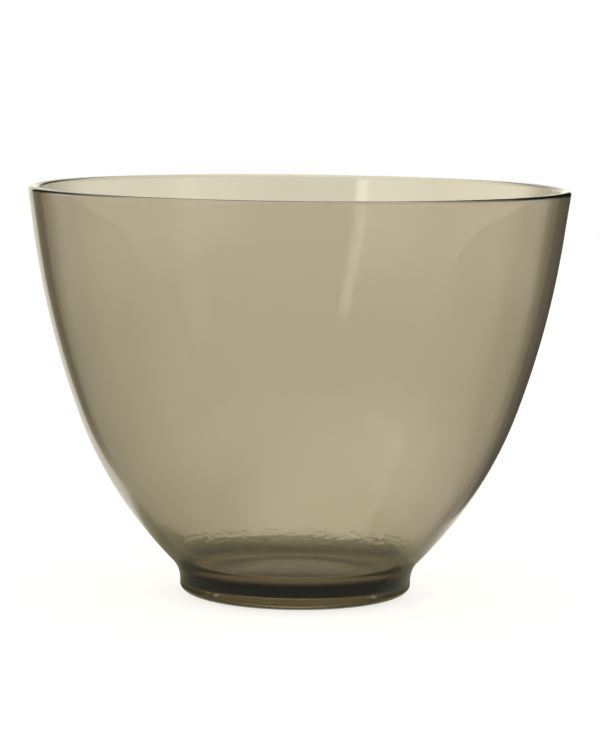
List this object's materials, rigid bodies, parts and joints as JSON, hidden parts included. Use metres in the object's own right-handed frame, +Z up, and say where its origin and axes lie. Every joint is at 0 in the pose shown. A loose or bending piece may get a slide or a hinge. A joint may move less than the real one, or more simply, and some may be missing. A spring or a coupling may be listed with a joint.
{
  "type": "mixing bowl",
  "caption": "Deep round flexible rubber mixing bowl with a curved wall, a plain rounded rim and a short round foot, moulded in one piece.",
  "frame": {"origin": "centre of the bowl's underside, on the surface that it rests on", "axes": "+Z up along the bowl's axis of revolution, towards the open mouth; the bowl is the same all round, so +X and +Y are free"},
  "size_m": [0.13, 0.13, 0.0986],
  "materials": {
    "smoky_rubber": "see-through smoky olive-taupe rubber, smooth with a soft satin gloss"
  },
  "bodies": {
    "root": {"bowl": "smoky_rubber"}
  },
  "joints": []
}
